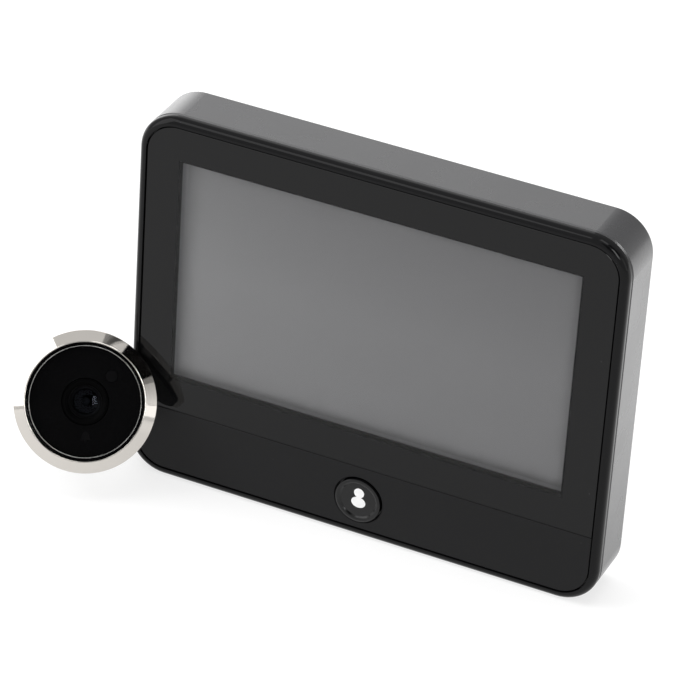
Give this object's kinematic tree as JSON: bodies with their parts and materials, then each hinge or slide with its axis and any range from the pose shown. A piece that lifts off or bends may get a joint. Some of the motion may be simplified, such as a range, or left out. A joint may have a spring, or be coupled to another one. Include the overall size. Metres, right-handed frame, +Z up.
{
  "type": "digital door viewer",
  "caption": "Digital door peephole: slim rounded indoor monitor with a wake button, and a round chrome-rimmed outdoor camera unit with a bell push, leaning on its front.",
  "frame": {"origin": "centre of the monitor's underside", "axes": "+X to the monitor's right seen from the room, +Y from the screen towards the door, +Z up"},
  "size_m": [0.1415, 0.0393, 0.0952],
  "materials": {
    "case_black": "fine satin moulding",
    "frame_black": "smooth semi-gloss moulding",
    "screen_glass": "black-printed cover glass with a clear window",
    "chin_black": "satin",
    "button_black": "satin with a white visitor pictogram",
    "foam_black": "soft closed-cell foam",
    "display_grey": "anti-glare display surface",
    "steel": "zinc-plated sheet",
    "board_green": "solder mask",
    "battery_silver": "foil pouch",
    "socket_metal": "plated",
    "socket_white": "nylon",
    "switch_black": "moulded",
    "chrome": "polished plating",
    "face_black": "polished acrylic",
    "trim_silver": "bright",
    "lens_black": "anodised",
    "lens_glass": "coated glass",
    "seal_black": "moulded rubber"
  },
  "bodies": {
    "monitor": {"front_frame": "frame_black", "glass_panel": "screen_glass", "chin_panel": "chin_black", "display_gasket": "foam_black", "display_cell": "display_grey", "display_backlight": "steel", "rear_shell": "case_black", "main_board": "board_green", "board_screws": "steel", "housing_screws": "steel", "battery_pack": "battery_silver", "speaker": "switch_black", "microphone": "socket_metal", "wake_switch": "switch_black", "side_switch": "switch_black", "usb_socket": "socket_metal", "card_socket": "socket_metal", "camera_socket": "socket_white"},
    "wake_button": {"wake_button": "button_black"},
    "power_key": {"power_key": "case_black"},
    "mount_bracket": {"mount_bracket": "steel"},
    "camera_unit": {"bezel_ring": "chrome", "camera_housing": "lens_black", "face_ring": "face_black", "threaded_barrel": "chrome", "seal_gasket": "seal_black", "cable_grommet": "seal_black", "lens_barrel": "lens_black", "lens_front": "lens_glass", "lens_retainer": "lens_black", "camera_board": "board_green", "image_sensor": "switch_black", "bell_switch": "steel", "light_sensor": "switch_black"},
    "bell_push": {"bell_push": "face_black", "push_trim": "trim_silver", "sensor_lens": "lens_glass"}
  },
  "joints": [
    {"name": "wake_press", "type": "slide", "parent": "monitor", "child": "wake_button", "axis": [0, 1, 0], "range_m": [0, 0.0005], "stiffness_N_per_m": 400, "springref_m": -0.0003},
    {"name": "power_press", "type": "slide", "parent": "monitor", "child": "power_key", "axis": [1, 0, 0], "range_m": [0, 0.0004], "stiffness_N_per_m": 400, "springref_m": -0.0003},
    {"name": "bracket_release", "type": "slide", "parent": "monitor", "child": "mount_bracket", "axis": [0, 0, -1], "range_m": [0, 0.006]},
    {"name": "camera_away", "type": "slide", "parent": "monitor", "child": "camera_unit", "axis": [-1, 0, 0], "range_m": [0, 0.08]},
    {"name": "bell_press", "type": "slide", "parent": "camera_unit", "child": "bell_push", "axis": [-0.3418, 0.7861, -0.515], "range_m": [0, 0.0004], "stiffness_N_per_m": 400, "springref_m": -0.0003}
  ]
}
